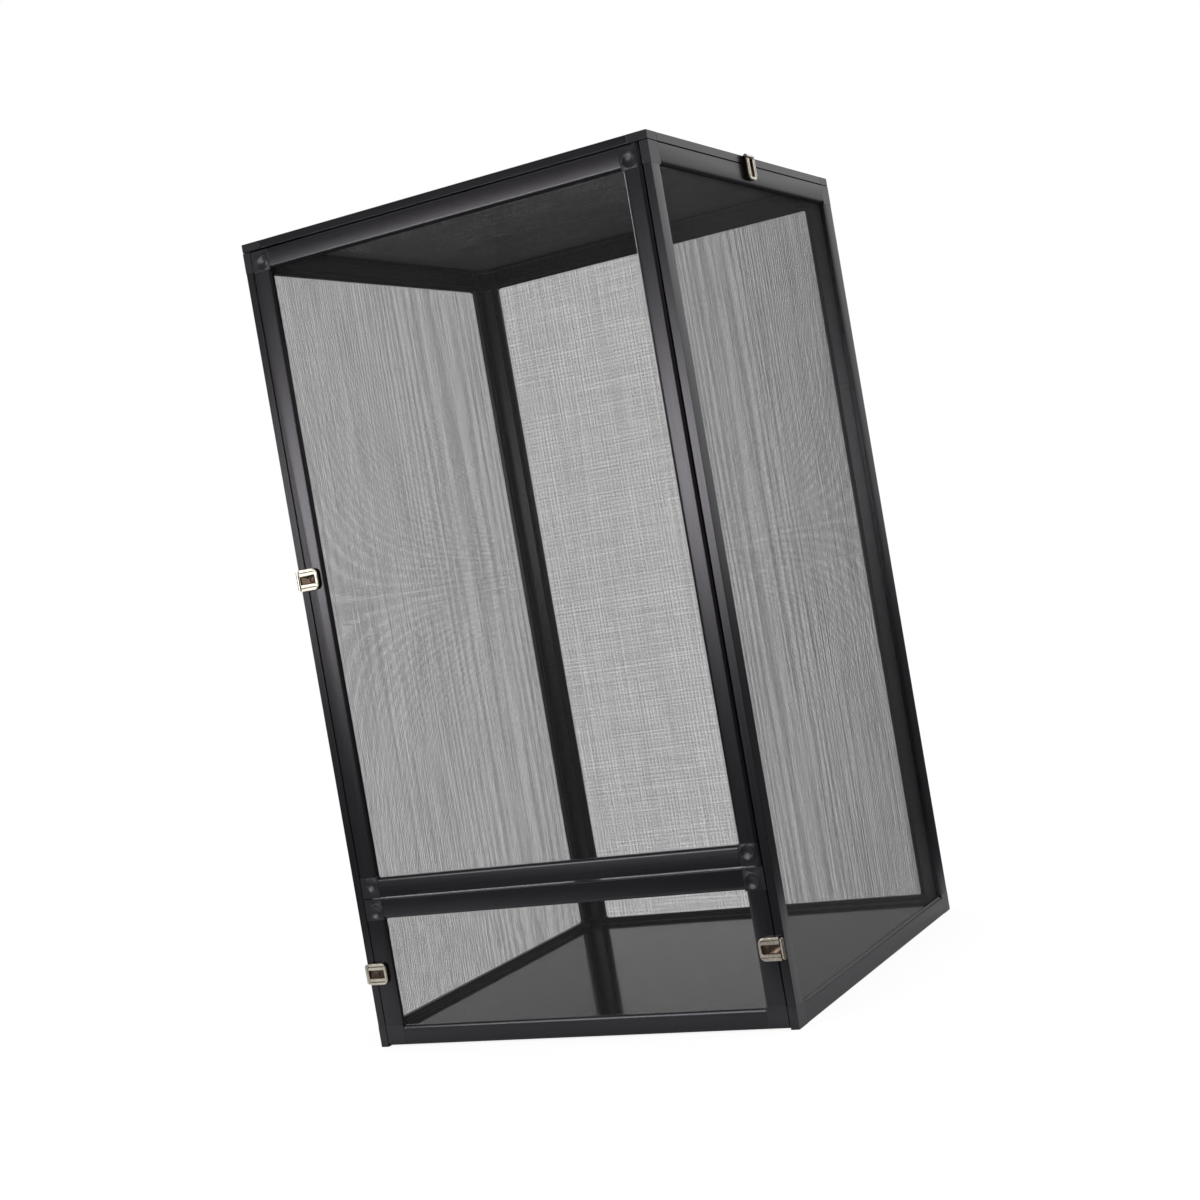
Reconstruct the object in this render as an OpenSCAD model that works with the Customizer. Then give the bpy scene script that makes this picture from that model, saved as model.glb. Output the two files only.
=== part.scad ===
// Screened reptile cage: six framed insect-screen panels, a floor tray,
// two front doors, a hinged lid and four snap-flap latches.
// +Z is up and the front faces -Y. The origin is the middle of the base.

/* [Cage] */
// Width of the cage across the front
cage_w = 426; // [360:1:600]
// Depth of the cage, front to back
cage_d = 426; // [360:1:600]
// Height of the cage to the top of the lid
cage_h = 762; // [600:1:900]
// Height of the top edge of the lower door
lower_door_top = 139.5; // [110:0.5:220]

/* [Frames] */
// Thickness of every panel
panel_t = 8; // [8:0.5:10]
// Width of the frame profile's face
face_w = 18.5; // [18:0.5:22]
// Side of the square corner connectors
connector_w = 19.5; // [19:0.5:24]
// Wall thickness of the hollow frame profile
wall = 1; // [0.8:0.1:1.2]

/* [Screen] */
// Spacing of the strands in the plain screen solids
strand_pitch = 62; // [55:1:90]
// Width of a strand
strand_w = 1.4; // [1:0.1:3]

/* [Doors and lid] */
// Gap between the doors and the side panels
side_gap = 0.7; // [0.6:0.1:1]
// Height of the seam between the walls and the lid
lid_seam = 0.4; // [0.3:0.1:1]
// Gap above and below a pivot bracket's tab
tab_gap = 0.3; // [0.3:0.1:0.6]
// Height of the lower door above the surface it stands on
lower_door_lift = 0.8; // [0.5:0.1:2]

/* [Floor] */
// Height of the floor's top surface
floor_top = 12; // [8:0.5:14]

/* [Latches] */
// Width of a latch, along its barrel
latch_w = 20; // [19:0.5:24]
// Distance from the cage's edge to the latch's far end
latch_reach = 23; // [22:0.2:26]
// How far a latch stands off the panel
latch_h = 4.7; // [4.4:0.1:5.5]
// Height of the upper door's latch above the base
upper_latch_z = 444; // [300:1:520]

/* [Hidden] */
$fn = 48;
eps = 0.01;
half_w = cage_w / 2;
half_d = cage_d / 2;

// Walls, lid and doors
wall_h = cage_h - panel_t - lid_seam;
inner_w = cage_w - 2 * panel_t;
door_w = inner_w - 2 * side_gap;
tab_t = 0.8;
lower_door_h = lower_door_top - lower_door_lift;
upper_door_bottom = lower_door_top + tab_t + 2 * tab_gap;
upper_door_top = cage_h - panel_t - tab_t - 2 * tab_gap;
upper_door_h = upper_door_top - upper_door_bottom;
lower_door_mid = lower_door_lift + lower_door_h / 2;
upper_door_mid = upper_door_bottom + upper_door_h / 2;

// Frame profile, measured from the panel's outer edge and its inside face
lip_w = 1.9;
groove_w = 3.6;
groove_in = face_w - lip_w;
groove_out = groove_in - groove_w;
groove_depth = 5.4;
lip_back = 2.4;
bevel_w = 3.2;
bevel_h = 1.6;
edge_chamfer = 0.5;
pivot_r = panel_t / 2;
tenon_l = 22;
tenon_gap = 0.05;

// Screen and the spline that holds it
screen_t = 0.7;
screen_fold = 2.2;
screen_edge = 0.6;
spline_w = 2.9;
spline_gap = 0.05;
spline_back = 0.9;

// Round boss with a shallow dish on the connectors of the doors
dish_at = 12.4;
dish_r = 5.7;
dish_depth = 1;
dish_curve_r = (dish_r * dish_r + dish_depth * dish_depth) / (2 * dish_depth);
rim_at = 11.4;
rim_r = 7.1;
rim_h = 0.5;

// Pins, pegs and screws
pin_r = 1.5;
run_gap = 0.05;
pin_in = 9;
pin_out = 6;
peg_half = 6;
peg_z = connector_w / 2;
floor_peg_z = floor_top / 2;
floor_peg_y = half_d - 14;
screw_r = 1.2;
screw_head_r = 2.2;
screw_head_top_r = 1.5;
screw_head_h = 1.1;
screw_in = 5;
small_screw_r = 0.9;
small_head_r = 1.6;
small_head_h = 0.7;

// Door pivots and the brackets of the upper door
pivot_x = door_w / 2 - pivot_r;
pivot_y = -half_d + pivot_r;
upper_tab_z = upper_door_top + tab_gap;
lower_tab_z = lower_door_top + tab_gap;
bracket_y = -half_d + panel_t + 0.3;
bracket_t = 1.2;
bracket_l = 13;
bracket_h = 20;
tab_w = 9;
bracket_screw_y = bracket_y + 2.3;
bracket_screw_drops = [5, 14];

// Floor tray
tray_t = 2.5;
tray_front = 0.8;
tray_block = 13;
rib_t = 2;
rib_at = 68;
boss_r = 15;

// Door stops
stop_w = 6;
stop_d = 4;
stop_h = 14;
stop_y = -half_d + panel_t + 0.3;
upper_stop_in = 60;
lower_stop_in = 30;

// Lid hinges
hinge_r = 2;
hinge_pin_r = 1;
hinge_l = 40;
hinge_y = cage_d / 2 - 90;
hinge_x = -half_w - 3.4;
hinge_z = cage_h - panel_t - lid_seam / 2;
hinge_leaf_t = 1;
hinge_leaf_h = 15;
hinge_leaf_down = 1;
lid_leaf_margin = 0.6;
knuckle_gap = 0.3;
knuckle_half = hinge_l / 6;
leaf_x = -half_w - hinge_x - hinge_leaf_t;
web_t = 1.4;
web_off = 0.65;
web_overlap = 1;
hinge_screw_y = 13;
hinge_screw_down = 11;

// Latches, measured from the cage's edge (x) and off its face (y)
barrel_x = 1.2;
barrel_y = 3;
barrel_r = 2;
barrel_half = 8.6;
knuckle_web = 1.4;
flap_knuckle = 5.1;
flap_from = 3.5;
flap_lift = 0.3;
flap_wall = 1.1;
flap_step = 0.6;
flap_corner_r = 5.5;
side_groove_at = 6.6;
side_groove_w = 1.1;
side_groove_depth = 1;
latch_pin_r = 0.8;
latch_pin_half = 9.4;
base_from = 0.5;
base_to = 7.5;
base_t = 1;
recess_from = 3.2;
recess_to = 20.6;
recess_half = 4.1;
recess_corner_r = 1;
recess_floor = 2.4;
stud_at = 15.4;
stud_r = 1.8;
stud_h = 2.1;
stud_foot_r = 3.2;
stud_foot_h = 0.7;
stud_shank_r = 1.2;
stud_shank_l = 3;
stud_gap = 0.4;
latch_screw_x = 4.6;
latch_screw_z = 6;

function nickel() = [0.78, 0.75, 0.69];
function frame_black() = [0.2, 0.2, 0.21];
function plastic_black() = [0.16, 0.16, 0.17];
function screen_grey() = [0.42, 0.42, 0.43];
function rubber_black() = [0.1, 0.1, 0.1];
function steel() = [0.6, 0.6, 0.62];
function black_steel() = [0.14, 0.14, 0.15];

// ---- places: each panel is drawn flat, x right, y up, z out of the cage ----

module on_left() { translate([-half_w + panel_t, 0, wall_h / 2]) rotate([90, 0, 270]) children(); }
module on_right() { translate([half_w - panel_t, 0, wall_h / 2]) rotate([90, 0, 90]) children(); }
module on_back() { translate([0, half_d - panel_t, wall_h / 2]) rotate([90, 0, 180]) children(); }
module on_top() { translate([0, 0, cage_h - panel_t]) children(); }
module on_front(mid) { translate([0, -half_d + panel_t, mid]) rotate([90, 0, 0]) children(); }

// ---- frame profile ----

// Section of the profile, x from the panel's outer edge, y from its inside face
module profile_section(pivot) {
    inner_side = [
        [groove_out, 0], [groove_out, groove_depth], [groove_in, groove_depth],
        [groove_in, lip_back], [face_w, lip_back], [face_w, panel_t - bevel_h],
        [face_w - bevel_w, panel_t]
    ];
    chamfered_edge = [
        [edge_chamfer, panel_t], [0, panel_t - edge_chamfer], [0, edge_chamfer], [edge_chamfer, 0]
    ];
    pivot_edge = [[pivot_r, panel_t], [pivot_r, 0]];
    polygon(concat(inner_side, pivot ? pivot_edge : chamfered_edge));
}

module chamber_section(from) {
    translate([from, wall]) square([groove_out - wall - from, panel_t - 2 * wall]);
}

function chamber_from(pivot) = pivot ? pivot_r : wall;

// One cut length of profile along y; a pivot edge is rounded so that it turns in its gap
module profile_bar(length, pivot = false) {
    rotate([90, 0, 0]) difference() {
        union() {
            linear_extrude(length, center = true) profile_section(pivot);
            if (pivot)
                translate([pivot_r, pivot_r, 0]) cylinder(length, r = pivot_r, center = true);
        }
        linear_extrude(length + 2 * eps, center = true) chamber_section(chamber_from(pivot));
    }
}

module stiles(w, h, pivot_right = false) {
    translate([-w / 2, 0, 0]) profile_bar(h - 2 * connector_w);
    translate([w / 2, 0, 0]) mirror([1, 0, 0]) profile_bar(h - 2 * connector_w, pivot_right);
}

module rails(w, h, pivot_bottom = false) {
    translate([0, -h / 2, 0]) rotate([0, 0, 90]) profile_bar(w - 2 * connector_w, pivot_bottom);
    translate([0, h / 2, 0]) mirror([0, 1, 0]) rotate([0, 0, 90])
        profile_bar(w - 2 * connector_w);
}

// ---- corner connectors ----

// Low moulded boss with a shallow round dish, set off centre so that its rim is widest
// towards the corner
module dish_boss() {
    translate([rim_at, rim_at, panel_t - eps]) cylinder(rim_h + eps, r1 = rim_r, r2 = rim_r - rim_h);
}
module dish_hollow() {
    translate([dish_at, dish_at, panel_t + rim_h - dish_depth + dish_curve_r])
        sphere(dish_curve_r, $fn = 240);
}

// Block with a rounded pivot edge: along the side (x) or along the bottom (y)
module connector_block(pivot_side, pivot_base) {
    from_x = pivot_side ? pivot_r : 0;
    from_y = pivot_base ? pivot_r : 0;
    translate([from_x, from_y, 0]) cube([connector_w - from_x, connector_w - from_y, panel_t]);
    if (pivot_side)
        translate([pivot_r, 0, pivot_r]) rotate([-90, 0, 0]) cylinder(connector_w, r = pivot_r);
    if (pivot_base)
        translate([0, pivot_r, pivot_r]) rotate([0, 90, 0]) cylinder(connector_w, r = pivot_r);
}

// A tenon along +y that fills the chamber of the next profile
module tenon(pivot) {
    from = chamber_from(pivot) + tenon_gap;
    to = groove_out - wall - tenon_gap;
    translate([from, connector_w - eps, wall + tenon_gap])
        cube([to - from, tenon_l, panel_t - 2 * (wall + tenon_gap)]);
}

module connector(dish = false, pivot_side = false, pivot_base = false) {
    past = connector_w;
    difference() {
        union() {
            connector_block(pivot_side, pivot_base);
            tenon(pivot_side);
            mirror([1, -1, 0]) tenon(pivot_base);
            if (dish) dish_boss();
        }
        translate([groove_out, groove_out, -eps]) cube([groove_w, past, groove_depth + eps]);
        translate([groove_out, groove_out, -eps]) cube([past, groove_w, groove_depth + eps]);
        translate([groove_in - eps, groove_in - eps, -eps]) cube([past, past, lip_back + eps]);
        if (dish) dish_hollow();
    }
}

// The four connectors; the top pair and the bottom pair can carry dishes
module corners(w, h, dish_top = false, dish_bottom = false, pivot_right = false,
               pivot_bottom = false) {
    translate([-w / 2, -h / 2, 0]) connector(dish_bottom, false, pivot_bottom);
    translate([w / 2, -h / 2, 0]) mirror([1, 0, 0])
        connector(dish_bottom, pivot_right, pivot_bottom);
    translate([-w / 2, h / 2, 0]) mirror([0, 1, 0]) connector(dish_top);
    translate([w / 2, h / 2, 0]) rotate([0, 0, 180]) connector(dish_top, pivot_right);
}

// ---- screen and spline ----

// Square-celled net whose edge is folded into the groove
module screen(w, h) {
    outer_w = w - 2 * (groove_in - screen_edge);
    outer_h = h - 2 * (groove_in - screen_edge);
    open_w = w - 2 * face_w;
    open_h = h - 2 * face_w;
    cells_x = round(open_w / strand_pitch);
    cells_y = round(open_h / strand_pitch);
    pitch_x = open_w / cells_x;
    pitch_y = open_h / cells_y;
    translate([0, 0, lip_back - screen_t]) difference() {
        translate([-outer_w / 2, -outer_h / 2, 0]) cube([outer_w, outer_h, screen_t + screen_fold]);
        translate([-outer_w / 2 + screen_edge, -outer_h / 2 + screen_edge, screen_t])
            cube([outer_w - 2 * screen_edge, outer_h - 2 * screen_edge, screen_fold + 1]);
        for (i = [0:cells_x - 1], j = [0:cells_y - 1])
            translate([
                -open_w / 2 + i * pitch_x + strand_w / 2, -open_h / 2 + j * pitch_y + strand_w / 2, -1
            ])
                cube([pitch_x - strand_w, pitch_y - strand_w, screen_t + 2]);
    }
}

module spline(w, h) {
    from = groove_out + spline_gap;
    depth = groove_depth - spline_gap - spline_back;
    translate([0, 0, spline_back]) linear_extrude(depth) difference() {
        square([w - 2 * from, h - 2 * from], center = true);
        square([w - 2 * (from + spline_w), h - 2 * (from + spline_w)], center = true);
    }
}

// ---- pegs, pins and the holes for them ----

// Pegs between the back panel and the side panels, and between the tray and the side panels
module each_peg() {
    for (side = [-1, 1]) {
        for (z = [peg_z, wall_h - peg_z])
            translate([side * inner_w / 2, half_d - panel_t / 2, z]) children();
        for (y = [-floor_peg_y, floor_peg_y])
            translate([side * inner_w / 2, y, floor_peg_z]) children();
    }
}

module pegs() {
    each_peg() rotate([0, 90, 0])
        cylinder(2 * peg_half, r = pin_r, center = true);
}

// Lower door pins, each pressed into the door and turning in a side panel
module lower_pin(side, from, to, r) {
    translate([side * from, pivot_y, lower_door_lift + pivot_r])
        rotate([0, side * 90, 0]) cylinder(to - from, r = r);
}
module lower_pins() {
    for (side = [-1, 1])
        lower_pin(side, door_w / 2 - pin_in, inner_w / 2 + pin_out - tab_gap, pin_r);
}
module lower_pin_sockets() {
    for (side = [-1, 1]) lower_pin(side, inner_w / 2 - eps, inner_w / 2 + pin_out, pin_r + run_gap);
}
module lower_pin_bores() {
    for (side = [-1, 1]) lower_pin(side, door_w / 2 - pin_in, door_w / 2 + eps, pin_r);
}

// Upper door pins, each pressed into the tab of a pivot bracket and turning in the door
module upper_pins(r, deeper = 0) {
    length = pin_in + tab_gap + tab_t + deeper;
    translate([pivot_x, pivot_y, upper_door_top - pin_in - deeper]) cylinder(length, r = r);
    translate([pivot_x, pivot_y, lower_tab_z]) cylinder(length, r = r);
}

// ---- floor, stops and brackets ----

module floor_tray() {
    front = -half_d + panel_t + tray_front;
    back = half_d - panel_t;
    color(plastic_black()) difference() {
        translate([-inner_w / 2, front, 0]) cube([inner_w, back - front, floor_top]);
        difference() {
            translate([-inner_w / 2 + tray_t, front + tray_t, -eps])
                cube([inner_w - 2 * tray_t, back - front - 2 * tray_t, floor_top - tray_t + eps]);
            for (x = [-rib_at, rib_at])
                translate([x - rib_t / 2, -half_d, -1]) cube([rib_t, cage_d, floor_top]);
            for (y = [-rib_at, rib_at])
                translate([-half_w, y - rib_t / 2, -1]) cube([cage_w, rib_t, floor_top]);
            for (x = [-1, 1], y = [-1, 1])
                translate([
                    x * (inner_w / 2 - tray_block / 2), y * (half_d - panel_t - tray_block / 2), 0
                ])
                    cube([tray_block, tray_block, 2 * floor_top], center = true);
            translate([0, 0, -1]) cylinder(floor_top, r = boss_r);
        }
        pegs();
    }
}

// Stops behind the doors' stiles: five blocks, [side of the cage, height]
function stop_places() = [
    [-1, upper_door_mid], [-1, upper_door_top - upper_stop_in], [-1, upper_door_bottom + upper_stop_in],
    [-1, lower_door_top - lower_stop_in], [1, lower_door_top - lower_stop_in]
];
module door_stops() {
    color(rubber_black()) for (place = stop_places())
        translate([place[0] * (inner_w / 2 - stop_w / 2), stop_y + stop_d / 2, place[1]])
            cube([stop_w, stop_d, stop_h], center = true);
}

// Bracket screws, two in each leaf, driven outwards into the right-hand stile
module bracket_screws() {
    for (top = [upper_tab_z, lower_tab_z], drop = bracket_screw_drops)
        translate([inner_w / 2 - bracket_t, bracket_screw_y, top - drop]) {
            rotate([0, -90, 0]) cylinder(screw_head_h, r1 = screw_head_r, r2 = screw_head_top_r);
            translate([-eps, 0, 0]) rotate([0, 90, 0]) cylinder(bracket_t + screw_in, r = screw_r);
        }
}

// A leaf on the side panel and a tab that reaches forward over the door's pivot
module pivot_bracket(tab_z) {
    difference() {
        union() {
            translate([inner_w / 2 - bracket_t, bracket_y, tab_z + tab_t - bracket_h])
                cube([bracket_t, bracket_l, bracket_h]);
            translate([inner_w / 2 - tab_w, bracket_y, tab_z]) cube([tab_w, bracket_l, tab_t]);
            translate([pivot_x - pivot_r, pivot_y, tab_z])
                cube([inner_w / 2 - pivot_x + pivot_r, bracket_y - pivot_y + eps, tab_t]);
            translate([pivot_x, pivot_y, tab_z]) cylinder(tab_t, r = pivot_r);
        }
        upper_pins(pin_r);
        bracket_screws();
    }
}

// ---- lid hinges on the left-hand side ----

module each_hinge() { for (side = [-1, 1]) translate([hinge_x, side * hinge_y, hinge_z]) children(); }

// Knuckles from y = from to y = to around the hinge's axis
module knuckle(from, to) {
    translate([0, from, 0]) rotate([-90, 0, 0]) cylinder(to - from, r = hinge_r);
}
module hinge_bore() { rotate([90, 0, 0]) cylinder(hinge_l + 2, r = hinge_pin_r + run_gap, center = true); }

// Web between the knuckles and the leaf, from y = from to y = to, its underside at z = low
module hinge_web(from, to, low) {
    translate([hinge_r - web_overlap, from, low])
        cube([leaf_x - hinge_r + 2 * web_overlap, to - from, web_t]);
}

module wall_leaf() {
    difference() {
        union() {
            for (ends = [[-hinge_l / 2, -knuckle_half], [knuckle_half, hinge_l / 2]]) {
                knuckle(ends[0], ends[1]);
                hinge_web(ends[0], ends[1], -web_off - web_t);
            }
            translate([leaf_x, -hinge_l / 2, -hinge_leaf_h - hinge_leaf_down])
                cube([hinge_leaf_t, hinge_l, hinge_leaf_h]);
        }
        hinge_bore();
        wall_hinge_screws();
    }
}
module lid_leaf() {
    half = knuckle_half - knuckle_gap;
    difference() {
        union() {
            knuckle(-half, half);
            hinge_web(-half, half, web_off);
            translate([leaf_x, -hinge_l / 2, lid_seam / 2 + lid_leaf_margin])
                cube([hinge_leaf_t, hinge_l, panel_t - 2 * lid_leaf_margin]);
        }
        hinge_bore();
        lid_hinge_screws();
    }
}

// A small countersunk screw with its head flush at the origin, driven along +x
module small_screw(through) {
    rotate([0, 90, 0]) cylinder(small_head_h, r1 = small_head_r, r2 = small_screw_r);
    rotate([0, 90, 0]) cylinder(through, r = small_screw_r);
}
module wall_hinge_screws() {
    for (y = [-hinge_screw_y, 0, hinge_screw_y])
        translate([leaf_x, y, -hinge_screw_down]) small_screw(hinge_leaf_t + screw_in);
}
module lid_hinge_screws() {
    for (y = [-hinge_screw_y, hinge_screw_y]) translate([leaf_x, y, lid_seam / 2 + panel_t / 2])
        small_screw(hinge_leaf_t + screw_in);
}

// ---- latches, drawn with x in from the cage's edge, y off its face, z along the barrel ----

module at_upper_latch() { translate([-half_w, -half_d, upper_latch_z]) rotate([180, 0, 0]) children(); }
module at_lower_left_latch() {
    translate([-half_w, -half_d, lower_door_mid]) rotate([180, 0, 0]) children();
}
module at_lower_right_latch() {
    translate([half_w, -half_d, lower_door_mid]) rotate([0, 0, 180]) children();
}
module at_door_latches() {
    at_upper_latch() children();
    at_lower_left_latch() children();
    at_lower_right_latch() children();
}
module at_lid_latch() { translate([half_w, 0, cage_h]) rotate([90, 90, 0]) children(); }

module latch_bore(r) { translate([barrel_x, barrel_y, 0]) cylinder(latch_w + 2, r = r, center = true); }

module latch_screws() {
    for (z = [-latch_screw_z, latch_screw_z])
        translate([latch_screw_x, base_t, z]) rotate([0, 0, -90]) small_screw(base_t + screw_in);
}

// Fixed leaf with its two knuckles
module latch_base() {
    knuckle_l = barrel_half - flap_knuckle - knuckle_gap;
    difference() {
        union() {
            translate([base_from, 0, -barrel_half]) cube([base_to - base_from, base_t, 2 * barrel_half]);
            for (side = [-1, 1]) translate([0, 0, side * (barrel_half - knuckle_l / 2)]) {
                translate([barrel_x, barrel_y, 0]) cylinder(knuckle_l, r = barrel_r, center = true);
                translate([barrel_x - knuckle_web / 2, 0, -knuckle_l / 2])
                    cube([knuckle_web, barrel_y, knuckle_l]);
            }
        }
        latch_bore(latch_pin_r);
        latch_screws();
    }
}

// Oblong with two rounded corners at its far end, between x = from and x = to
module rounded_tongue(from, to, half, r) {
    translate([from, -half]) square([to - r - from, 2 * half]);
    translate([from, -half + r]) square([to - from, 2 * (half - r)]);
    for (side = [-1, 1]) translate([to - r, side * (half - r)]) circle(r);
}
module flap_outline(inset) {
    rounded_tongue(flap_from, latch_reach - inset, latch_w / 2 - inset, flap_corner_r - inset);
}
module recess_outline(grow) {
    rounded_tongue(recess_from - grow, recess_to + grow, recess_half + grow, recess_corner_r + grow);
}

// Extrudes an outline off the face, from y = low to y = high
module rise(low, high) { translate([0, high, 0]) rotate([90, 0, 0]) linear_extrude(high - low) children(); }

// Outer form of the flap: a stepped edge all round and a groove along each side
module flap_body() {
    difference() {
        union() {
            rise(flap_lift, latch_h - flap_step) flap_outline(0);
            rise(latch_h - flap_step - eps, latch_h) flap_outline(flap_step);
        }
        for (side = [-1, 1])
            rise(latch_h - side_groove_depth, latch_h + 1)
                translate([(recess_from + recess_to) / 2, side * (side_groove_at + side_groove_w / 2)])
                    square([recess_to - recess_from, side_groove_w], center = true);
    }
}

// Pressed shell that swings on the barrel and snaps over the stud
module latch_flap() {
    difference() {
        union() {
            difference() {
                flap_body();
                difference() {
                    rise(-1, latch_h - side_groove_depth - flap_wall) flap_outline(flap_wall);
                    rise(recess_floor - flap_wall, latch_h) recess_outline(flap_wall);
                }
                rise(recess_floor, latch_h + 1) recess_outline(0);
            }
            translate([barrel_x, barrel_y, 0]) cylinder(2 * flap_knuckle, r = barrel_r, center = true);
            translate([barrel_x, recess_floor - flap_wall, -flap_knuckle])
                cube([flap_from - barrel_x + web_overlap, flap_wall, 2 * flap_knuckle]);
        }
        latch_bore(latch_pin_r + run_gap);
        translate([stud_at, 0, 0]) rotate([-90, 0, 0]) cylinder(latch_h, r = stud_r + stud_gap);
    }
}

module latch_pin() {
    translate([barrel_x, barrel_y, 0]) cylinder(2 * latch_pin_half, r = latch_pin_r, center = true);
}

module latch_stud() {
    translate([stud_at, 0, 0]) rotate([-90, 0, 0]) {
        cylinder(stud_foot_h, r = stud_foot_r);
        cylinder(stud_h, r = stud_r);
        stud_shank();
    }
}
module stud_shank() { translate([0, 0, -stud_shank_l]) cylinder(stud_shank_l + eps, r = stud_shank_r); }
module stud_hole() { translate([stud_at, 0, 0]) rotate([-90, 0, 0]) stud_shank(); }

// ---- nodes: side panels ----

module left_side_stiles() {
    color(frame_black()) difference() {
        on_left() stiles(cage_d, wall_h);
        at_upper_latch() latch_screws();
        at_lower_left_latch() latch_screws();
    }
}
module left_side_rails() {
    color(frame_black()) difference() {
        on_left() rails(cage_d, wall_h);
        each_hinge() wall_hinge_screws();
    }
}
module left_side_corners() {
    color(plastic_black()) difference() {
        on_left() corners(cage_d, wall_h);
        pegs();
        lower_pin_sockets();
    }
}
module left_side_screen() { color(screen_grey()) on_left() screen(cage_d, wall_h); }
module left_side_spline() { color(rubber_black()) on_left() spline(cage_d, wall_h); }

module right_side_stiles() {
    color(frame_black()) difference() {
        on_right() stiles(cage_d, wall_h);
        at_lower_right_latch() latch_screws();
        bracket_screws();
    }
}
module right_side_rails() {
    color(frame_black()) difference() {
        on_right() rails(cage_d, wall_h);
        at_lid_latch() stud_hole();
    }
}
module right_side_corners() {
    color(plastic_black()) difference() {
        on_right() corners(cage_d, wall_h);
        pegs();
        lower_pin_sockets();
        bracket_screws();
    }
}
module right_side_screen() { color(screen_grey()) on_right() screen(cage_d, wall_h); }
module right_side_spline() { color(rubber_black()) on_right() spline(cage_d, wall_h); }

// ---- nodes: back panel and lid ----

module back_stiles() { color(frame_black()) on_back() stiles(inner_w, wall_h); }
module back_rails() { color(frame_black()) on_back() rails(inner_w, wall_h); }
module back_corners() {
    color(plastic_black()) difference() {
        on_back() corners(inner_w, wall_h);
        pegs();
    }
}
module back_screen() { color(screen_grey()) on_back() screen(inner_w, wall_h); }
module back_spline() { color(rubber_black()) on_back() spline(inner_w, wall_h); }

module lid_stiles() {
    color(frame_black()) difference() {
        on_top() stiles(cage_w, cage_d);
        each_hinge() lid_hinge_screws();
        at_lid_latch() latch_screws();
    }
}
module lid_rails() { color(frame_black()) on_top() rails(cage_w, cage_d); }
module lid_corners() { color(plastic_black()) on_top() corners(cage_w, cage_d); }
module lid_screen() { color(screen_grey()) on_top() screen(cage_w, cage_d); }
module lid_spline() { color(rubber_black()) on_top() spline(cage_w, cage_d); }

// ---- nodes: doors ----

module upper_door_stiles() {
    color(frame_black()) difference() {
        on_front(upper_door_mid) stiles(door_w, upper_door_h, pivot_right = true);
        at_upper_latch() stud_hole();
    }
}
module upper_door_rails() { color(frame_black()) on_front(upper_door_mid) rails(door_w, upper_door_h); }
module upper_door_corners() {
    color(plastic_black()) difference() {
        on_front(upper_door_mid)
            corners(door_w, upper_door_h, dish_top = true, dish_bottom = true, pivot_right = true);
        upper_pins(pin_r + run_gap, tab_gap);
    }
}
module upper_door_screen() { color(screen_grey()) on_front(upper_door_mid) screen(door_w, upper_door_h); }
module upper_door_spline() { color(rubber_black()) on_front(upper_door_mid) spline(door_w, upper_door_h); }

module lower_door_stiles() {
    color(frame_black()) difference() {
        on_front(lower_door_mid) stiles(door_w, lower_door_h);
        at_lower_left_latch() stud_hole();
        at_lower_right_latch() stud_hole();
    }
}
module lower_door_rails() {
    color(frame_black()) on_front(lower_door_mid) rails(door_w, lower_door_h, pivot_bottom = true);
}
module lower_door_corners() {
    color(plastic_black()) difference() {
        on_front(lower_door_mid) corners(door_w, lower_door_h, dish_top = true, pivot_bottom = true);
        lower_pin_bores();
    }
}
module lower_door_screen() { color(screen_grey()) on_front(lower_door_mid) screen(door_w, lower_door_h); }
module lower_door_spline() { color(rubber_black()) on_front(lower_door_mid) spline(door_w, lower_door_h); }

// ---- nodes: floor, joints and small hardware ----

module joining_pegs() { color(steel()) pegs(); }
module pivot_brackets() {
    color(black_steel()) {
        pivot_bracket(upper_tab_z);
        pivot_bracket(lower_tab_z);
    }
}
module pivot_bracket_screws() { color(black_steel()) bracket_screws(); }
module upper_door_pins() { color(black_steel()) upper_pins(pin_r); }
module lower_door_pins() { color(steel()) lower_pins(); }

module lid_hinge_wall_leaves() { color(nickel()) each_hinge() wall_leaf(); }
module lid_hinge_lid_leaves() { color(nickel()) each_hinge() lid_leaf(); }
module lid_hinge_pins() {
    color(nickel()) each_hinge()
        rotate([90, 0, 0]) cylinder(hinge_l + 1, r = hinge_pin_r, center = true);
}
module lid_hinge_wall_screws() { color(nickel()) each_hinge() wall_hinge_screws(); }
module lid_hinge_lid_screws() { color(nickel()) each_hinge() lid_hinge_screws(); }

module upper_latch_base() { color(nickel()) at_upper_latch() latch_base(); }
module lower_left_latch_base() { color(nickel()) at_lower_left_latch() latch_base(); }
module lower_right_latch_base() { color(nickel()) at_lower_right_latch() latch_base(); }
module lid_latch_base() { color(nickel()) at_lid_latch() latch_base(); }
module upper_latch_flap() { color(nickel()) at_upper_latch() latch_flap(); }
module lower_left_latch_flap() { color(nickel()) at_lower_left_latch() latch_flap(); }
module lower_right_latch_flap() { color(nickel()) at_lower_right_latch() latch_flap(); }
module lid_latch_flap() { color(nickel()) at_lid_latch() latch_flap(); }

module door_latch_pins() { color(nickel()) at_door_latches() latch_pin(); }
module lid_latch_pin() { color(nickel()) at_lid_latch() latch_pin(); }
module door_latch_screws() { color(nickel()) at_door_latches() latch_screws(); }
module lid_latch_screws() { color(nickel()) at_lid_latch() latch_screws(); }
module upper_door_stud() { color(nickel()) at_upper_latch() latch_stud(); }
module lower_door_studs() {
    color(nickel()) {
        at_lower_left_latch() latch_stud();
        at_lower_right_latch() latch_stud();
    }
}
module lid_latch_stud() { color(nickel()) at_lid_latch() latch_stud(); }

// ---- the assembly ----

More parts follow.
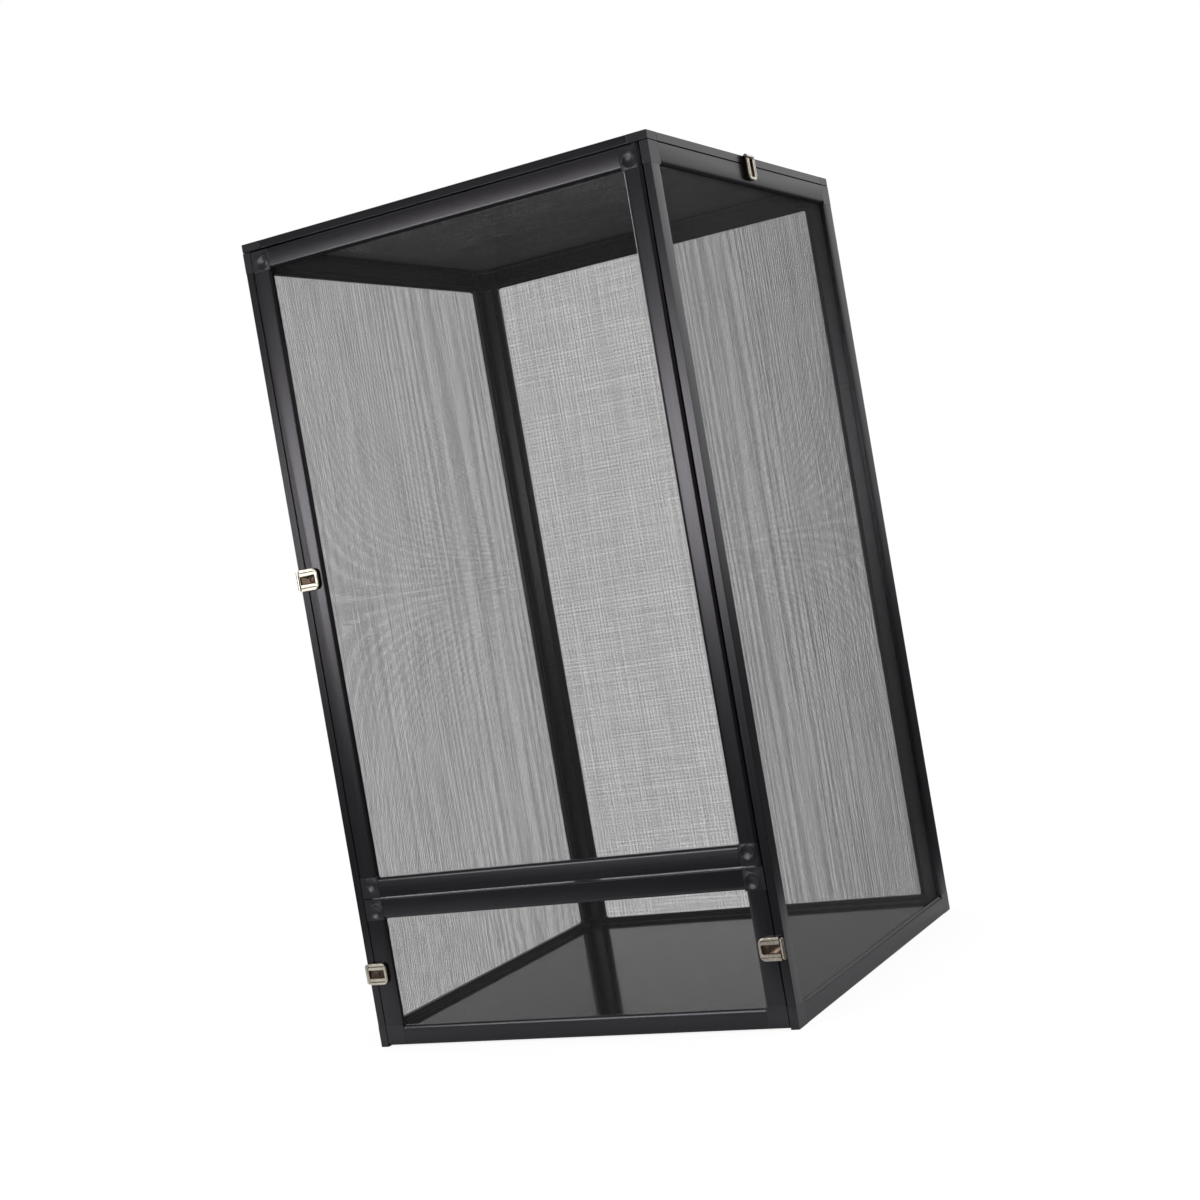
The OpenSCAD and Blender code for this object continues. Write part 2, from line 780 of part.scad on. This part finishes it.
left_side_stiles();
left_side_rails();
left_side_corners();
left_side_screen();
left_side_spline();
right_side_stiles();
right_side_rails();
right_side_corners();
right_side_screen();
right_side_spline();
back_stiles();
back_rails();
back_corners();
back_screen();
back_spline();
lid_stiles();
lid_rails();
lid_corners();
lid_screen();
lid_spline();
upper_door_stiles();
upper_door_rails();
upper_door_corners();
upper_door_screen();
upper_door_spline();
lower_door_stiles();
lower_door_rails();
lower_door_corners();
lower_door_screen();
lower_door_spline();
floor_tray();
joining_pegs();
door_stops();
pivot_brackets();
pivot_bracket_screws();
upper_door_pins();
lower_door_pins();
lid_hinge_wall_leaves();
lid_hinge_lid_leaves();
lid_hinge_pins();
lid_hinge_wall_screws();
lid_hinge_lid_screws();
upper_latch_base();
lower_left_latch_base();
lower_right_latch_base();
lid_latch_base();
upper_latch_flap();
lower_left_latch_flap();
lower_right_latch_flap();
lid_latch_flap();
door_latch_pins();
lid_latch_pin();
door_latch_screws();
lid_latch_screws();
upper_door_stud();
lower_door_studs();
lid_latch_stud();
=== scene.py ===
"""Looks of the screened reptile cage: fine wire screens, powder-coated frames, moulded
corner connectors, nickel-plated snap latches, the floor tray, soft studio light and the
photograph's camera. Metres, +Z up, the cage's front faces -Y."""

import math
import random

import bmesh
import bpy
from mathutils import Matrix, Vector


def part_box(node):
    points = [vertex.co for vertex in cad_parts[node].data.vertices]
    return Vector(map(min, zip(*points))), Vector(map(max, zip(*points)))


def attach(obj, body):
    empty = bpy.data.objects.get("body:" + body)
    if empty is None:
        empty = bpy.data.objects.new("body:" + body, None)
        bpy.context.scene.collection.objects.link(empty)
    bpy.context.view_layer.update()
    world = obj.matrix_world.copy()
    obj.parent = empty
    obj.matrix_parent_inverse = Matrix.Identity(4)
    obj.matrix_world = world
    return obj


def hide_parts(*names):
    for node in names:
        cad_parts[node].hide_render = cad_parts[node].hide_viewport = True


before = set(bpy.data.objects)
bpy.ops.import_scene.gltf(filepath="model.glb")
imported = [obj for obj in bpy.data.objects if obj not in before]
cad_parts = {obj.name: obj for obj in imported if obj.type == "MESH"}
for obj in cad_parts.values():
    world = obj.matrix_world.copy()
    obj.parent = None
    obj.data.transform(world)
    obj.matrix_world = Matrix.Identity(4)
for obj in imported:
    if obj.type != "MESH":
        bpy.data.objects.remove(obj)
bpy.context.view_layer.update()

MM = 0.001

# Real sizes of the screen: twenty-eight wires to the inch. Each wire has slight bends along
# its length, and strays from its place at each of them. Its bends are slid along it by up
# to a share of the distance between two bends, so that the wires' bends don't line up
WIRE_PITCH = 0.9 * MM
WIRE_ACROSS = 0.19 * MM
WIRE_SIDES = 5
WIRE_BENDS = 9
WIRE_STRAY = 0.07 * MM
WIRE_SLIDE = 0.45

# How deep the two rows of wires lie below the outer face of the coarse net's flat, and how
# far the net's folded edge stands out beyond that face
WIRE_LAYERS = (0.12 * MM, 0.33 * MM)
NET_FOLD = 2.2 * MM

# The white sheet under the cage and the floor beyond it: their own colours, the glow that
# the camera sees over them, and the share of their own colours that it sees
PAPER = ("#f0f0f0", "#525252")
GLOW = ("#f2f2f2", "#fefefe")
PAPER_SEEN = 0.2

# Distance from the middle of the ground to its edges
GROUND_REACH = 20

# The sheet's middle, half of its length and width, how far it is turned, and where its
# soft edge begins and ends as shares of its size
SHEET_MIDDLE = (-0.12, -0.12, 0)
SHEET_SIZE = (0.62, 0.36, 1)
SHEET_TURN = (0, 0, math.radians(37.7))
SHEET_EDGE = {"From Min": 0.87, "From Max": 1.25}

# Light of the room in front of the cage and of the backdrop behind it, and the share of
# it that is left at the horizon
ROOM_LIGHT = 0.17
BACKDROP_LIGHT = 1.0
HORIZON_SHARE = 0.5

# Tint of the light that the black finishes reflect
VIOLET_SHEEN = (1, 0.96, 1.03, 1)

# A latch's metal is bright nickel from the first distance from the cage's middle outwards,
# and from the second distance inwards it is painted brown, as painted shade in its pressed recess
PLAIN_NICKEL_AT = 217.2 * MM
PAINTED_SHADE_AT = 216.6 * MM

# Softened edges: their width on each kind of piece, the angle from which an edge of the
# solid is softened, and the angle from which an edge of the finished piece stays sharp
PROFILE_EDGE = 0.35 * MM
MOULDED_EDGE = 0.5 * MM
PRESSED_EDGE = 0.3 * MM
SMALL_EDGE = 0.15 * MM
SOFTENED_FROM = math.radians(30)
SHARP_FROM = math.radians(25)

# Vertices of a solid's loose triangles that are closer than this are one
WELD = 0.002 * MM

# Each framed panel: the body it rides on, and the axes along its stiles and its rails
PANELS = {
    "left_side": ("cage", "z", "y"),
    "right_side": ("cage", "z", "y"),
    "back": ("cage", "z", "x"),
    "lid": ("lid", "y", "x"),
    "upper_door": ("upper_door", "z", "x"),
    "lower_door": ("lower_door", "z", "x"),
}


# ---- camera ----

def make_camera():
    """The photograph's camera: turned 27.7 degrees to the right, level but for one degree,
    and rolled almost ten degrees."""
    azimuth = math.radians(27.7)
    down = math.radians(1.09)
    roll = math.radians(-9.79)
    ahead = Vector((
        -math.sin(azimuth) * math.cos(down),
        math.cos(azimuth) * math.cos(down),
        -math.sin(down),
    ))
    level_right = Vector((math.cos(azimuth), math.sin(azimuth), 0))
    level_up = level_right.cross(ahead)
    right = level_right * math.cos(roll) + level_up * math.sin(roll)
    up = level_up * math.cos(roll) - level_right * math.sin(roll)
    data = bpy.data.cameras.new("camera")
    data.sensor_fit = "HORIZONTAL"
    data.sensor_width = 36
    data.lens = 58.02
    data.clip_start = 0.05
    data.clip_end = 60
    camera = bpy.data.objects.new("camera", data)
    bpy.context.scene.collection.objects.link(camera)
    turn = Matrix((right, up, -ahead)).transposed().to_4x4()
    camera.matrix_world = Matrix.Translation((0.8702, -1.688, 0.4137)) @ turn
    bpy.context.scene.camera = camera


# ---- materials ----

def linear(hex_colour):
    """An sRGB hex colour as linear RGBA."""
    channels = [int(hex_colour[i:i + 2], 16) / 255 for i in (1, 3, 5)]
    return [c / 12.92 if c <= 0.04045 else ((c + 0.055) / 1.055) ** 2.4 for c in channels] + [1]


def add(material, kind, links=None, inputs=None, **settings):
    """Adds a node, sets its properties and inputs, and links its inputs from other nodes."""
    node = material.node_tree.nodes.new("ShaderNode" + kind)
    for name, value in settings.items():
        setattr(node, name, value)
    for name, value in (inputs or {}).items():
        node.inputs[name].default_value = value
    for name, (source, output) in (links or {}).items():
        material.node_tree.links.new(source.outputs[output], node.inputs[name])
    return node


def new_material(name):
    material = bpy.data.materials.new(name)
    material.use_nodes = True
    material.node_tree.nodes.clear()
    return material


def finish_material(material, surface, output="BSDF"):
    add(material, "OutputMaterial", {"Surface": (surface, output)})
    return material


def stretched(material, sizes_mm):
    """Object coordinates scaled so that one unit of pattern is the given size on each axis."""
    place = add(material, "TexCoord")
    scale = [1 / (size * MM) for size in sizes_mm]
    return add(material, "Mapping", {"Vector": (place, "Object")}, {"Scale": scale})


def mottled_colour(material, vector, dark, light, detail=4):
    noise = add(material, "TexNoise", {"Vector": (vector, "Vector")},
                {"Scale": 1, "Detail": detail, "Roughness": 0.6})
    ramp = add(material, "ValToRGB", {"Fac": (noise, "Fac")})
    ramp.color_ramp.elements[0].position = 0.3
    ramp.color_ramp.elements[0].color = linear(dark)
    ramp.color_ramp.elements[1].position = 0.7
    ramp.color_ramp.elements[1].color = linear(light)
    return ramp


def ranged(material, source, output, low, high):
    return add(material, "MapRange", {"Value": (source, output)}, {"To Min": low, "To Max": high})


def powder_coat(name, streak_mm):
    # Roll-formed aluminium with a satin violet-black powder coat: an even sheen broken by
    # fine orange peel, forming streaks along the bar and a little handling dust
    material = new_material(name)
    peel = stretched(material, (1.1, 1.1, 1.1))
    streaks = stretched(material, streak_mm)
    colour = mottled_colour(material, streaks, "#100f12", "#1c1a1f")
    grain = add(material, "TexNoise", {"Vector": (peel, "Vector")}, {"Scale": 1, "Detail": 2})
    bump = add(material, "Bump", {"Height": (grain, "Fac")}, {"Strength": 0.25, "Distance": 0.05 * MM})
    drawn = add(material, "TexNoise", {"Vector": (streaks, "Vector")}, {"Scale": 1, "Detail": 5})
    rough = ranged(material, drawn, "Fac", 0.21, 0.27)
    shader = add(material, "BsdfPrincipled",
                 {"Base Color": (colour, "Color"), "Roughness": (rough, "Result"),
                  "Normal": (bump, "Normal")}, {"IOR": 1.5, "Specular Tint": VIOLET_SHEEN})
    return finish_material(material, shader)


def moulded_nylon():
    # Injection-moulded black nylon: a touch greyer than the coat, with a spark-eroded grain
    material = new_material("black_moulded_nylon")
    grain_size = stretched(material, (0.6, 0.6, 0.6))
    wide = stretched(material, (12, 12, 12))
    colour = mottled_colour(material, wide, "#19181c", "#252428")
    grain = add(material, "TexNoise", {"Vector": (grain_size, "Vector")}, {"Scale": 1, "Detail": 3})
    bump = add(material, "Bump", {"Height": (grain, "Fac")}, {"Strength": 0.4, "Distance": 0.06 * MM})
    rough = ranged(material, grain, "Fac", 0.24, 0.38)
    shader = add(material, "BsdfPrincipled",
                 {"Base Color": (colour, "Color"), "Roughness": (rough, "Result"),
                  "Normal": (bump, "Normal")}, {"IOR": 1.5, "Specular Tint": VIOLET_SHEEN})
    return finish_material(material, shader)


def coated_wire():
    # Black-coated woven aluminium wire: dull satin, slightly uneven along each wire
    material = new_material("black_coated_wire")
    beads = stretched(material, (3, 3, 3))
    colour = mottled_colour(material, beads, "#1c1b1d", "#28272a")
    shader = add(material, "BsdfPrincipled", {"Base Color": (colour, "Color")},
                 {"Roughness": 0.5, "IOR": 1.5})
    return finish_material(material, shader)


def vinyl_spline():
    # Extruded black vinyl cord with fine ribs that grip the screen
    material = new_material("black_vinyl_cord")
    ribs = stretched(material, (0.8, 0.8, 0.8))
    grain = add(material, "TexNoise", {"Vector": (ribs, "Vector")}, {"Scale": 1, "Detail": 2})
    colour = mottled_colour(material, ribs, "#141414", "#1e1e1e")
    bump = add(material, "Bump", {"Height": (grain, "Fac")}, {"Strength": 0.5, "Distance": 0.1 * MM})
    shader = add(material, "BsdfPrincipled",
                 {"Base Color": (colour, "Color"), "Normal": (bump, "Normal")},
                 {"Roughness": 0.7, "IOR": 1.5})
    return finish_material(material, shader)


def moulded_floor():
    # Glossy black polystyrene tray: it mirrors the screens at a low angle, with the faint
    # waviness of a moulded sheet, soft wipe marks and a film of dust
    material = new_material("black_gloss_polystyrene")
    wide = stretched(material, (60, 60, 60))
    wipes = stretched(material, (25, 4, 25))
    colour = mottled_colour(material, wide, "#161517", "#1f1e20")
    waves = add(material, "TexNoise", {"Vector": (wide, "Vector")}, {"Scale": 1, "Detail": 1})
    bump = add(material, "Bump", {"Height": (waves, "Fac")}, {"Strength": 0.3, "Distance": 0.2 * MM})
    wiped = add(material, "TexNoise", {"Vector": (wipes, "Vector")}, {"Scale": 1, "Detail": 4})
    rough = ranged(material, wiped, "Fac", 0.05, 0.14)
    shader = add(material, "BsdfPrincipled",
                 {"Base Color": (colour, "Color"), "Roughness": (rough, "Result"),
                  "Normal": (bump, "Normal")},
                 {"IOR": 1.5, "Specular IOR Level": 0.25, "Specular Tint": VIOLET_SHEEN})
    return finish_material(material, shader)


def nickel_plate(name, shaded_hollow=None):
    # Bright nickel over pressed steel: warm silver with hairline scuffs. Where the piece is
    # pressed hollow, given as an axis and two depths along it, the metal is painted brown: painted
    # shade in the recess
    material = new_material(name)
    scuffs = stretched(material, (0.25, 0.25, 6))
    wide = stretched(material, (8, 8, 8))
    colour = mottled_colour(material, wide, "#cfc8b8", "#ece6d8")
    output = "Color"
    if shaded_hollow:
        axis, outer, inner = shaded_hollow
        # Painted shade: a dark brown colour over the recess, standing in for the shade that lies there
        painted_shade_colour = mottled_colour(material, wide, "#43352e", "#6a5a4f")
        place = add(material, "TexCoord")
        depth = add(material, "SeparateXYZ", {"Vector": (place, "Object")})
        painted_shade = add(material, "MapRange", {"Value": (depth, axis)},
                    {"From Min": outer, "From Max": inner})
        colour = add(material, "Mix", {"Factor": (painted_shade, "Result"), "A": (colour, "Color"),
                                       "B": (painted_shade_colour, "Color")}, data_type="RGBA")
        output = "Result"
    lines = add(material, "TexNoise", {"Vector": (scuffs, "Vector")}, {"Scale": 1, "Detail": 3})
    rough = ranged(material, lines, "Fac", 0.2, 0.34)
    bump = add(material, "Bump", {"Height": (lines, "Fac")}, {"Strength": 0.12, "Distance": 0.02 * MM})
    shader = add(material, "BsdfPrincipled",
                 {"Base Color": (colour, output), "Roughness": (rough, "Result"),
                  "Normal": (bump, "Normal")}, {"Metallic": 1})
    return finish_material(material, shader)


def zinc_plate():
    # Bluish zinc-plated sheet steel with a soft spangle
    material = new_material("zinc_plated_steel")
    spangle = stretched(material, (2.5, 2.5, 2.5))
    colour = mottled_colour(material, spangle, "#a9adb3", "#c3c7cc", detail=2)
    flakes = add(material, "TexVoronoi", {"Vector": (spangle, "Vector")}, {"Scale": 1})
    rough = ranged(material, flakes, "Distance", 0.3, 0.48)
    shader = add(material, "BsdfPrincipled",
                 {"Base Color": (colour, "Color"), "Roughness": (rough, "Result")}, {"Metallic": 1})
    return finish_material(material, shader)


def black_oxide():
    # Pressed sheet steel, blackened and oiled: a dark low sheen with a cloudy finish
    material = new_material("blackened_sheet_steel")
    clouds = stretched(material, (4, 4, 4))
    colour = mottled_colour(material, clouds, "#17171a", "#232326", detail=3)
    shader = add(material, "BsdfPrincipled", {"Base Color": (colour, "Color")},
                 {"Roughness": 0.45, "IOR": 1.5})
    return finish_material(material, shader)


def black_rubber():
    # Cut rubber pad: matt, with a sanded grain
    material = new_material("matt_black_rubber")
    grain_size = stretched(material, (0.5, 0.5, 0.5))
    grain = add(material, "TexNoise", {"Vector": (grain_size, "Vector")}, {"Scale": 1, "Detail": 4})
    colour = mottled_colour(material, grain_size, "#151515", "#202020")
    bump = add(material, "Bump", {"Height": (grain, "Fac")}, {"Strength": 0.6, "Distance": 0.08 * MM})
    shader = add(material, "BsdfPrincipled",
                 {"Base Color": (colour, "Color"), "Normal": (bump, "Normal")},
                 {"Roughness": 0.8, "IOR": 1.52})
    return finish_material(material, shader)


# ---- pieces ----

def piece_from(name, bm, material, body):
    """Makes an object of a bmesh with one material, riding on a body."""
    mesh = bpy.data.meshes.new(name)
    bm.to_mesh(mesh)
    bm.free()
    mesh.materials.clear()
    mesh.materials.append(material)
    piece = bpy.data.objects.new(name, mesh)
    bpy.context.scene.collection.objects.link(piece)
    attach(piece, body)
    return piece


def softened(node, edge, material, body):
    """The node's own solid with its sharp outer edges rounded, in place of the plain one."""
    bm = bmesh.new()
    bm.from_mesh(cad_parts[node].data)
    bmesh.ops.remove_doubles(bm, verts=bm.verts, dist=WELD)
    bmesh.ops.dissolve_limit(bm, angle_limit=math.radians(1), verts=bm.verts, edges=bm.edges)
    sharp = [e for e in bm.edges if e.is_convex and e.calc_face_angle(0) > SOFTENED_FROM]
    bmesh.ops.bevel(bm, geom=sharp, offset=edge, offset_type="OFFSET", segments=2, profile=0.5,
                    affect="EDGES", clamp_overlap=True, material=-1)
    bmesh.ops.triangulate(bm, faces=[f for f in bm.faces if len(f.verts) > 4],
                          ngon_method="EAR_CLIP")
    piece = piece_from(node + "_finished", bm, material, body)
    piece.data.shade_smooth()
    piece.data.set_sharp_from_angle(angle=SHARP_FROM)
    weighted = piece.modifiers.new("flat_faces", "WEIGHTED_NORMAL")
    weighted.keep_sharp = True
    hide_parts(node)
    return piece


def wires(bm, low, high, along, across):
    """A row of wires that run along one axis and are spread across another."""
    span = high[across] - low[across]
    count = round(span / WIRE_PITCH)
    direction = Vector([float(axis == along) for axis in range(3)])
    step = Vector([float(axis == across) for axis in range(3)]) * span / count
    start = (Vector(low) + Vector(high) - (count - 1) * step) / 2
    turn = Vector((0, 0, 1)).rotation_difference(direction).to_matrix().to_4x4()
    wire = bmesh.new()
    length = high[along] - low[along]
    bmesh.ops.create_cone(wire, cap_ends=True, segments=WIRE_SIDES, radius1=WIRE_ACROSS / 2,
                          radius2=WIRE_ACROSS / 2, depth=length,
                          matrix=Matrix.Translation(start) @ turn)
    lengthways = [edge for edge in wire.edges if edge.calc_length() > length / 2]
    bmesh.ops.subdivide_edges(wire, edges=lengthways, cuts=WIRE_BENDS)
    one = bpy.data.meshes.new("one_wire")
    wire.to_mesh(one)
    wire.free()
    before = len(bm.verts)
    for _ in range(count):
        bm.from_mesh(one)
        one.transform(Matrix.Translation(step))
    section = length / (WIRE_BENDS + 1)
    in_one = len(one.vertices)
    chance = random.Random(count)
    slides = [chance.uniform(-WIRE_SLIDE, WIRE_SLIDE) * section for _ in range(count)]
    strays = [[chance.gauss(0, WIRE_STRAY) for _ in range(WIRE_BENDS + 2)] for _ in range(count)]
    bm.verts.ensure_lookup_table()
    for number, vert in enumerate(bm.verts[before:]):
        bend = round((vert.co[along] - low[along]) / section)
        vert.co[across] += strays[number // in_one][bend]
        if 0 < bend <= WIRE_BENDS:
            vert.co[along] += slides[number // in_one]
    bpy.data.meshes.remove(one)


def woven_screen(panel, body, material):
    """Fine wire screen that fills the panel's frame, in place of the coarse net."""
    low, high = (list(corner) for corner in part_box(panel + "_screen"))
    thin = min(range(3), key=lambda axis: high[axis] - low[axis])
    first, second = [axis for axis in range(3) if axis != thin]
    outside, inward = (high, -1) if panel in ("right_side", "back", "lid") else (low, 1)
    # The screen lies against the frame's lip, as the net's flat does
    face = outside[thin] + inward * NET_FOLD
    bm = bmesh.new()
    for axis_along, axis_across, layer in zip((first, second), (second, first), WIRE_LAYERS):
        start, end = list(low), list(high)
        start[thin] = end[thin] = face + inward * layer
        wires(bm, start, end, axis_along, axis_across)
    piece = piece_from(panel + "_wires", bm, material, body)
    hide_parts(panel + "_screen")
    return piece


# ---- floor and light ----

def sheet_edge(material, away, on_sheet, beyond):
    """One colour on the white sheet round the cage and another beyond its soft edge."""
    edge = add(material, "ValToRGB", {"Fac": (away, "Result")})
    edge.color_ramp.elements[0].color = linear(on_sheet)
    edge.color_ramp.elements[1].color = linear(beyond)
    return edge


def make_stage():
    """A white ground that keeps the shadow: a sheet of white paper round the cage on a
    darker floor, and both white to the camera."""
    bm = bmesh.new()
    bmesh.ops.create_grid(bm, x_segments=1, y_segments=1, size=GROUND_REACH)
    mesh = bpy.data.meshes.new("ground")
    bm.to_mesh(mesh)
    bm.free()
    ground = bpy.data.objects.new("ground", mesh)
    bpy.context.scene.collection.objects.link(ground)
    material = new_material("white_studio_ground")
    place = add(material, "TexCoord")
    sheet = add(material, "Mapping", {"Vector": (place, "Object")},
                {"Location": SHEET_MIDDLE, "Rotation": SHEET_TURN, "Scale": SHEET_SIZE},
                vector_type="TEXTURE")
    reach = add(material, "VectorMath", {0: (sheet, "Vector")}, operation="LENGTH")
    away = add(material, "MapRange", {"Value": (reach, "Value")}, SHEET_EDGE)
    path = add(material, "LightPath")
    share = add(material, "MapRange", {"Value": (path, "Is Camera Ray")},
                {"To Min": 1, "To Max": PAPER_SEEN})
    colour = add(material, "VectorMath", {0: (sheet_edge(material, away, *PAPER), "Color"),
                                          "Scale": (share, "Result")}, operation="SCALE")
    paper = add(material, "BsdfDiffuse", {"Color": (colour, "Vector")})
    glow = add(material, "Emission", {"Strength": (path, "Is Camera Ray"),
                                      "Color": (sheet_edge(material, away, *GLOW), "Color")})
    both = add(material, "AddShader", {0: (paper, "BSDF"), 1: (glow, "Emission")})
    finish_material(material, both, "Shader")
    mesh.materials.append(material)


def area_light(name, place, aim, size, watts):
    data = bpy.data.lights.new(name, "AREA")
    data.shape = "RECTANGLE"
    data.size, data.size_y = size
    data.energy = watts
    light = bpy.data.objects.new(name, data)
    light.location = place
    light.rotation_euler = (Vector(aim) - Vector(place)).to_track_quat("-Z", "Y").to_euler()
    bpy.context.scene.collection.objects.link(light)


def make_light():
    """White to the camera all round. For the light on the object, a white backdrop behind
    it, a dim room in front, and soft boxes. Behind is +Y, and both fade near the horizon."""
    world = bpy.data.worlds.new("studio")
    bpy.context.scene.world = world
    world.use_nodes = True
    world.node_tree.nodes.clear()
    place = add(world, "TexCoord")
    ahead = add(world, "SeparateXYZ", {"Vector": (place, "Generated")})
    room = add(world, "MapRange", {"Value": (ahead, "Y")},
               {"From Min": -0.1, "From Max": 0.6, "To Min": ROOM_LIGHT, "To Max": BACKDROP_LIGHT},
               interpolation_type="SMOOTHSTEP")
    height = add(world, "MapRange", {"Value": (ahead, "Z")},
                 {"From Min": 0, "From Max": 0.22, "To Min": HORIZON_SHARE, "To Max": 1},
                 interpolation_type="SMOOTHSTEP")
    level = add(world, "Math", {0: (room, "Result"), 1: (height, "Result")}, operation="MULTIPLY")
    path = add(world, "LightPath")
    strength = add(world, "Math", {0: (level, "Value"), 1: (path, "Is Camera Ray")},
                   operation="MAXIMUM")
    background = add(world, "Background", {"Strength": (strength, "Value")}, {"Color": (1, 1, 1, 1)})
    add(world, "OutputWorld", {"Surface": (background, "Background")})
    area_light("key_right", (2.6, -0.6, 1.5), (0, 0, 0.4), (1.6, 2.2), 32)
    area_light("top_soft", (-0.3, -0.9, 2.8), (0, 0, 0.4), (2.4, 2.0), 20)
    area_light("strip_left", (-2.4, -0.82, 1.25), (0, -0.2, 0.6), (0.25, 0.8), 12)
    area_light("window_front", (-1.05, -2.6, 0.6), (0.05, -0.2, 0.45), (1.3, 0.4), 15)


# ---- the object ----

def main():
    make_camera()
    coats = {axis: powder_coat("satin_black_powder_coat_" + axis,
                               [70 if axis == other else 1.6 for other in "xyz"])
             for axis in "xyz"}
    nylon = moulded_nylon()
    wire = coated_wire()
    vinyl = vinyl_spline()
    nickel = nickel_plate("nickel_plate")
    # Latch plating with painted shade: dark brown from the given depth inwards, where the pressed
    # recesses lie in shade
    door_nickel_painted_shade = nickel_plate("nickel_painted_shade_on_doors", ("Y", -PLAIN_NICKEL_AT, -PAINTED_SHADE_AT))
    lid_nickel_painted_shade = nickel_plate("nickel_painted_shade_on_lid", ("X", PLAIN_NICKEL_AT, PAINTED_SHADE_AT))
    zinc = zinc_plate()
    rubber = black_rubber()
    oxide = black_oxide()
    for panel, (body, stile_axis, rail_axis) in PANELS.items():
        softened(panel + "_stiles", PROFILE_EDGE, coats[stile_axis], body)
        softened(panel + "_rails", PROFILE_EDGE, coats[rail_axis], body)
        softened(panel + "_corners", MOULDED_EDGE, nylon, body)
        softened(panel + "_spline", MOULDED_EDGE, vinyl, body)
        woven_screen(panel, body, wire)
    softened("floor_tray", MOULDED_EDGE, moulded_floor(), "cage")
    softened("door_stops", MOULDED_EDGE, rubber, "cage")
    for latch, leaf_body, plating in (
        ("upper_latch", "cage", door_nickel_painted_shade), ("lower_left_latch", "cage", door_nickel_painted_shade),
        ("lower_right_latch", "cage", door_nickel_painted_shade), ("lid_latch", "lid", lid_nickel_painted_shade),
    ):
        softened(latch + "_base", PRESSED_EDGE, plating, leaf_body)
        softened(latch + "_flap", PRESSED_EDGE, plating, latch + "_flap")
    for node, body, material in (
        ("pivot_brackets", "cage", oxide), ("pivot_bracket_screws", "cage", oxide),
        ("upper_door_pins", "cage", oxide), ("lower_door_pins", "lower_door", zinc),
        ("joining_pegs", "cage", zinc),
        ("lid_hinge_wall_leaves", "cage", nickel), ("lid_hinge_lid_leaves", "lid", nickel),
        ("lid_hinge_pins", "cage", nickel), ("lid_hinge_wall_screws", "cage", nickel),
        ("lid_hinge_lid_screws", "lid", nickel), ("door_latch_pins", "cage", nickel),
        ("lid_latch_pin", "lid", nickel), ("door_latch_screws", "cage", nickel),
        ("lid_latch_screws", "lid", nickel),
        ("upper_door_stud", "upper_door", door_nickel_painted_shade),
        ("lower_door_studs", "lower_door", door_nickel_painted_shade),
        ("lid_latch_stud", "cage", lid_nickel_painted_shade),
    ):
        softened(node, SMALL_EDGE, material, body)
    make_stage()
    make_light()
    bpy.context.scene.view_settings.view_transform = "Standard"


main()
